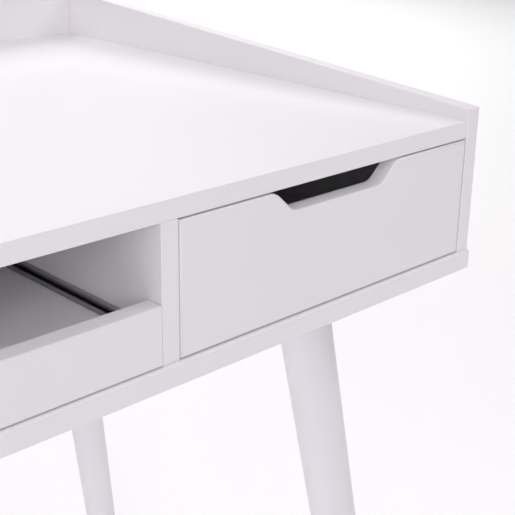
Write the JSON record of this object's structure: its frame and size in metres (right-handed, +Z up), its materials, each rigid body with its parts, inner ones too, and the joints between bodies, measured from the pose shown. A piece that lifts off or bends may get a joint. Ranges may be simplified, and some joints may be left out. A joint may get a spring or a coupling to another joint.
{
  "type": "writing desk with drawers",
  "caption": "Writing desk on splayed round legs, with a raised gallery, inset drawers with finger cut-outs and a pull-out keyboard tray on ball-bearing slides between them.",
  "frame": {"origin": "on the floor under the middle of the overall width and depth", "axes": "+X to the right of somebody who sits at the desk, -Y is the front, +Z up"},
  "size_m": [1.2, 0.606, 0.802],
  "materials": {
    "board": "white foil on fibreboard, fine satin",
    "worktop_board": "white foil on fibreboard, satin, wipe-clean",
    "front": "white foil wrapped over rounded edges",
    "box_board": "white paper foil on drawer boards",
    "hardboard": "white coated hardboard, slight orange peel",
    "leg": "white lacquer on turned solid wood",
    "leg_plate": "black powder coat",
    "fixings": "bright zinc plate",
    "slide_cage": "black moulded nylon",
    "slide_zinc": "zinc plated cold-rolled steel",
    "foot_glide": "moulded polyethylene"
  },
  "bodies": {
    "case": {"bottom_panel": "board", "worktop": "worktop_board", "back_panel": "board", "side_panel_left": "board", "divider_left": "board", "side_panel_right": "board", "divider_right": "board", "side_screw_left_front": "fixings", "side_screw_left_rear": "fixings", "side_screw_right_front": "fixings", "side_screw_right_rear": "fixings", "leg_front_left": "leg", "leg_plate_front_left": "leg_plate", "leg_bolt_front_left": "fixings", "foot_glide_front_left": "foot_glide", "leg_rear_left": "leg", "leg_plate_rear_left": "leg_plate", "leg_bolt_rear_left": "fixings", "foot_glide_rear_left": "foot_glide", "leg_front_right": "leg", "leg_plate_front_right": "leg_plate", "leg_bolt_front_right": "fixings", "foot_glide_front_right": "foot_glide", "leg_rear_right": "leg", "leg_plate_rear_right": "leg_plate", "leg_bolt_rear_right": "fixings", "foot_glide_rear_right": "foot_glide", "tray_slide_left_outer": "slide_zinc", "tray_slide_right_outer": "slide_zinc", "drawer_left_slide_left_outer": "slide_zinc", "drawer_left_slide_right_outer": "slide_zinc", "drawer_right_slide_left_outer": "slide_zinc", "drawer_right_slide_right_outer": "slide_zinc"},
    "drawer_left": {"drawer_left_front": "front", "drawer_left_box_left": "box_board", "drawer_left_slide_left_inner": "slide_zinc", "drawer_left_box_right": "box_board", "drawer_left_slide_right_inner": "slide_zinc", "drawer_left_box_back": "box_board", "drawer_left_floor": "hardboard"},
    "drawer_left_ball_cages": {"drawer_left_slide_left_cage": "slide_cage", "drawer_left_slide_right_cage": "slide_cage"},
    "drawer_right": {"drawer_right_front": "front", "drawer_right_box_left": "box_board", "drawer_right_slide_left_inner": "slide_zinc", "drawer_right_box_right": "box_board", "drawer_right_slide_right_inner": "slide_zinc", "drawer_right_box_back": "box_board", "drawer_right_floor": "hardboard"},
    "drawer_right_ball_cages": {"drawer_right_slide_left_cage": "slide_cage", "drawer_right_slide_right_cage": "slide_cage"},
    "tray": {"tray_slide_left_inner": "slide_zinc", "tray_slide_right_inner": "slide_zinc", "tray_front": "front", "tray_board": "board"},
    "tray_ball_cages": {"tray_slide_left_cage": "slide_cage", "tray_slide_right_cage": "slide_cage"}
  },
  "joints": [
    {"name": "drawer_left_pull", "type": "slide", "parent": "case", "child": "drawer_left", "axis": [0, -1, 0], "range_m": [0, 0.3]},
    {"name": "drawer_left_cage_travel", "type": "slide", "parent": "case", "child": "drawer_left_ball_cages", "axis": [0, -1, 0], "range_m": [0, 0.15]},
    {"name": "drawer_right_pull", "type": "slide", "parent": "case", "child": "drawer_right", "axis": [0, -1, 0], "range_m": [0, 0.3]},
    {"name": "drawer_right_cage_travel", "type": "slide", "parent": "case", "child": "drawer_right_ball_cages", "axis": [0, -1, 0], "range_m": [0, 0.15]},
    {"name": "tray_pull", "type": "slide", "parent": "case", "child": "tray", "axis": [0, -1, 0], "range_m": [0, 0.3]},
    {"name": "tray_cage_travel", "type": "slide", "parent": "case", "child": "tray_ball_cages", "axis": [0, -1, 0], "range_m": [0, 0.15]}
  ],
  "couplings": [
    {"joint": "drawer_left_cage_travel", "follows": "drawer_left_pull", "ratio": 0.5},
    {"joint": "drawer_right_cage_travel", "follows": "drawer_right_pull", "ratio": 0.5},
    {"joint": "tray_cage_travel", "follows": "tray_pull", "ratio": 0.5}
  ]
}
